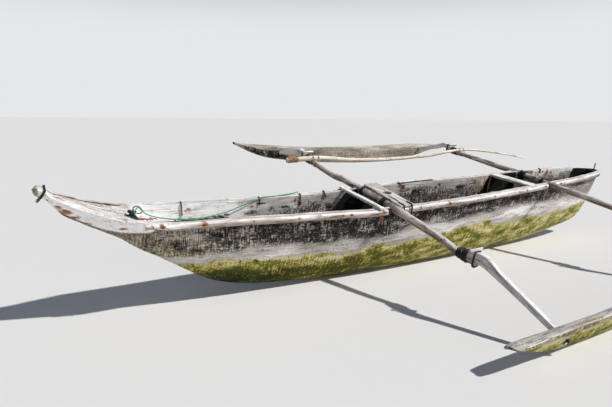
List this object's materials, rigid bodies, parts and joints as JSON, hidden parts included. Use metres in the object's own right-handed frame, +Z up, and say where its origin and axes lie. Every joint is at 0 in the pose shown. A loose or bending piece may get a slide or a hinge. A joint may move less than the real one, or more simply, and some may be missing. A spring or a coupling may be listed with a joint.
{
  "type": "outrigger canoe",
  "caption": "Dugout canoe with a canted plank float on each side, carried by two lashed cross booms, resting heeled on its keel and one float.",
  "frame": {"origin": "on the floor, under the middle of the canoe's bounding box without its rope", "axes": "+X aft towards the stern, +Y to starboard, +Z up; the canoe is heeled 12.4 degrees to port, as it lies on the beach"},
  "size_m": [5.5752, 3.4266, 0.9991],
  "materials": {
    "bleached_wood": "sun-bleached, grey-white, weathered",
    "hull_wood": "weathered dugout log, dark bands and green moss below",
    "pole_wood": "weathered round pole",
    "pale_wood": "smooth pale wood",
    "float_wood": "grey weathered plank with moss",
    "black_lashing": "black lashing strips",
    "orange_lashing": "faded orange-brown binding",
    "pale_lashing": "pale cord",
    "iron": "rusty iron",
    "green_rope": "green laid rope"
  },
  "bodies": {
    "root": {"hull": "hull_wood", "strake_port_fore": "bleached_wood", "strake_port_mid": "bleached_wood", "strake_port_aft": "bleached_wood", "strake_starboard_fore": "bleached_wood", "strake_starboard_mid": "bleached_wood", "strake_starboard_aft": "bleached_wood", "thwart_fore": "pale_wood", "thwart_mast": "bleached_wood", "thwart_aft": "bleached_wood", "mast_step": "hull_wood", "strap_fore": "black_lashing", "strap_aft": "black_lashing", "boom_fore": "pole_wood", "crossbar_fore": "pole_wood", "boom_aft": "pole_wood", "crossbar_aft": "pole_wood", "strut_port_fore": "pale_wood", "strut_starboard_fore": "pale_wood", "strut_port_aft": "pale_wood", "strut_starboard_aft": "pale_wood", "float_port": "float_wood", "float_starboard": "float_wood", "hull_lashing_fore_port": "black_lashing", "hull_lashing_fore_starboard": "black_lashing", "hull_lashing_aft_port": "black_lashing", "hull_lashing_aft_starboard": "black_lashing", "lap_lashing_port_fore_inner": "black_lashing", "lap_lashing_port_fore_outer": "black_lashing", "chock_port_fore": "pale_wood", "lap_lashing_starboard_fore_inner": "black_lashing", "lap_lashing_starboard_fore_outer": "black_lashing", "chock_starboard_fore": "pale_wood", "lap_lashing_port_aft_inner": "black_lashing", "lap_lashing_port_aft_outer": "black_lashing", "chock_port_aft": "pale_wood", "lap_lashing_starboard_aft_inner": "black_lashing", "lap_lashing_starboard_aft_outer": "black_lashing", "chock_starboard_aft": "pale_wood", "pole": "pale_wood", "pole_wrap": "orange_lashing", "pole_tie_fore": "pale_lashing", "pole_tie_aft": "pale_lashing", "bow_lashing": "black_lashing", "stern_pin": "iron", "rope": "green_rope"}
  },
  "joints": []
}
